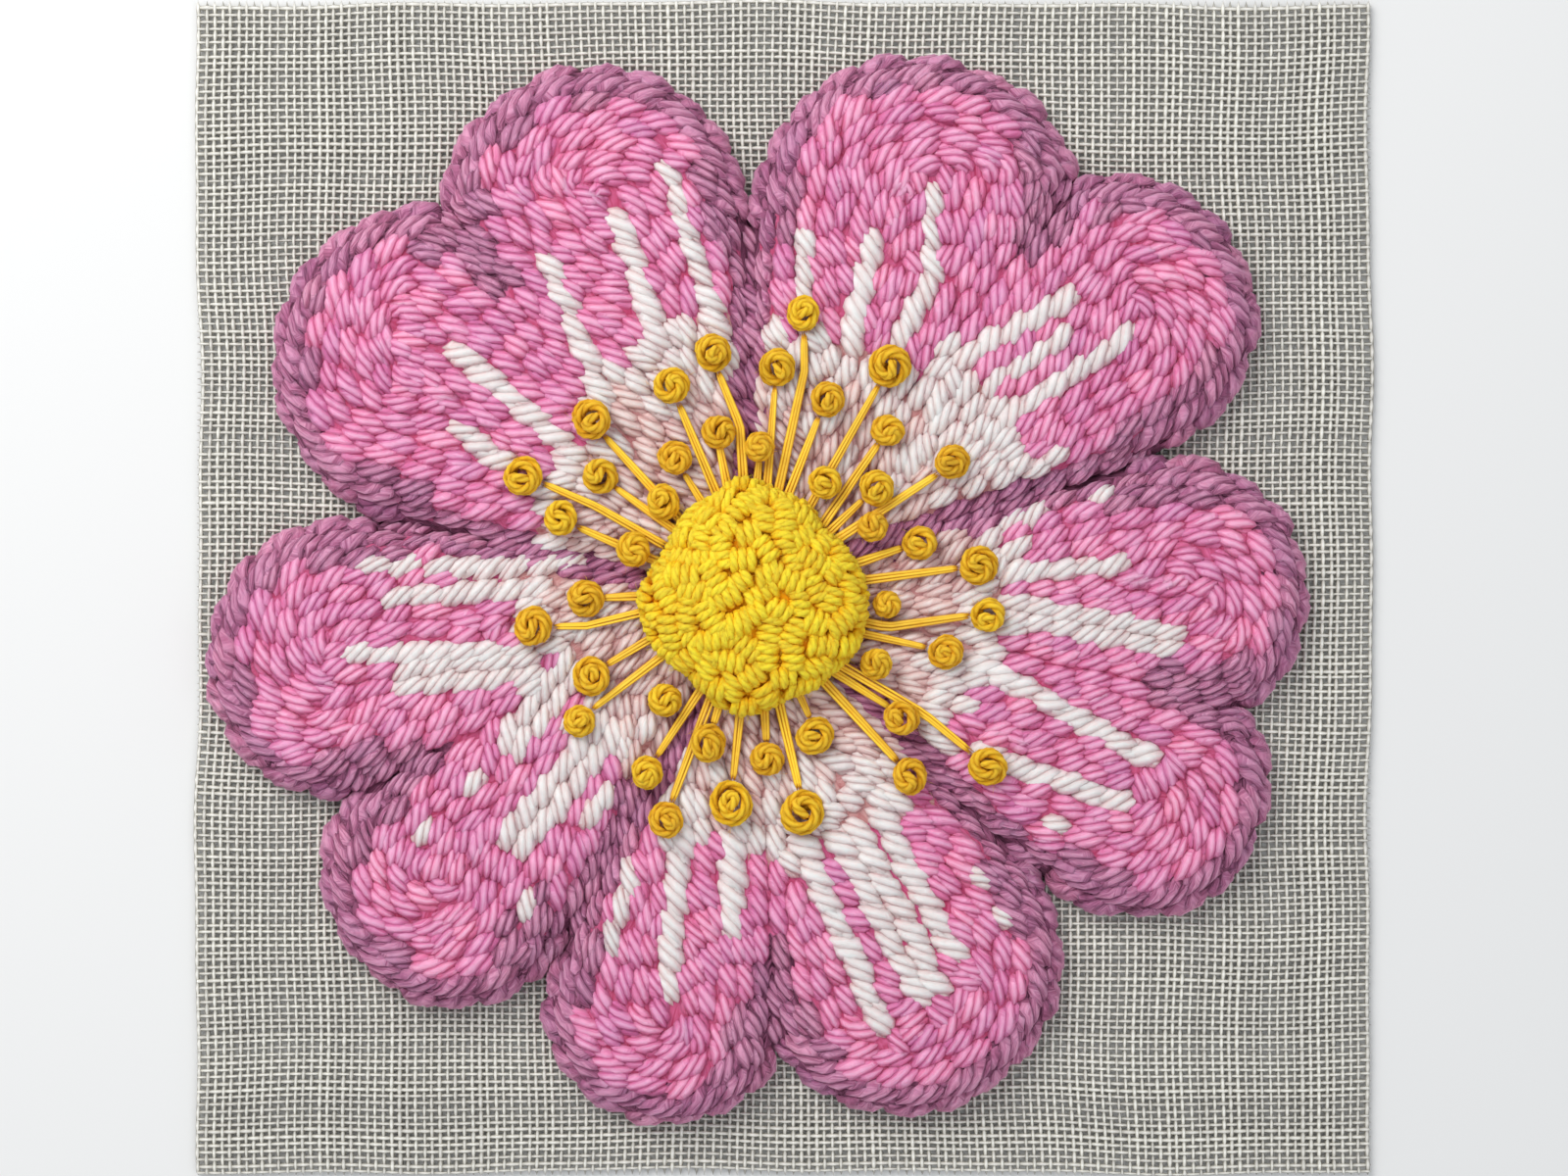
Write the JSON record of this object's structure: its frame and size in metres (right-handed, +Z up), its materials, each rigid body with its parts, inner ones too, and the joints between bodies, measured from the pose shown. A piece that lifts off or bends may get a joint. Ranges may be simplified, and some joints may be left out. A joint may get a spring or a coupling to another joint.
{
  "type": "punch needle embroidery",
  "caption": "Raised wool flower with domed petals, looped centre and knotted stamens, worked on a flat square of open linen.",
  "frame": {"origin": "middle of the flat cloth's underside", "axes": "+Z up from the cloth towards the viewer, +X to the right of the work, +Y to the top of the work"},
  "size_m": [0.138, 0.138, 0.0112],
  "materials": {
    "linen": "open plain weave linen",
    "pink_wool": "pink stitched wool",
    "mauve_wool": "mauve stitched wool",
    "white_wool": "white stitched wool",
    "blush_wool": "blush stitched wool",
    "yellow_wool": "yellow looped wool",
    "ochre_wool": "ochre knotted wool",
    "gold_floss": "glossy golden floss"
  },
  "bodies": {
    "root": {"cloth": "linen", "petal_upper_right": "pink_wool", "petal_upper_left": "pink_wool", "petal_left": "pink_wool", "petal_bottom": "pink_wool", "petal_right": "pink_wool", "centre": "yellow_wool", "filaments": "gold_floss", "knot_01": "ochre_wool", "knot_02": "ochre_wool", "knot_03": "ochre_wool", "knot_04": "ochre_wool", "knot_05": "ochre_wool", "knot_06": "ochre_wool", "knot_07": "ochre_wool", "knot_08": "ochre_wool", "knot_09": "ochre_wool", "knot_10": "ochre_wool", "knot_11": "ochre_wool", "knot_12": "ochre_wool", "knot_13": "ochre_wool", "knot_14": "ochre_wool", "knot_15": "ochre_wool", "knot_16": "ochre_wool", "knot_17": "ochre_wool", "knot_18": "ochre_wool", "knot_19": "ochre_wool", "knot_20": "ochre_wool", "knot_21": "ochre_wool", "knot_22": "ochre_wool", "knot_23": "ochre_wool", "knot_24": "ochre_wool", "knot_25": "ochre_wool", "knot_26": "ochre_wool", "knot_27": "ochre_wool", "knot_28": "ochre_wool", "knot_29": "ochre_wool", "knot_30": "ochre_wool", "knot_31": "ochre_wool", "knot_32": "ochre_wool", "knot_33": "ochre_wool", "knot_34": "ochre_wool", "knot_35": "ochre_wool", "knot_36": "ochre_wool", "knot_37": "ochre_wool", "knot_38": "ochre_wool", "knot_39": "ochre_wool", "knot_40": "ochre_wool", "knot_41": "ochre_wool"}
  },
  "joints": []
}
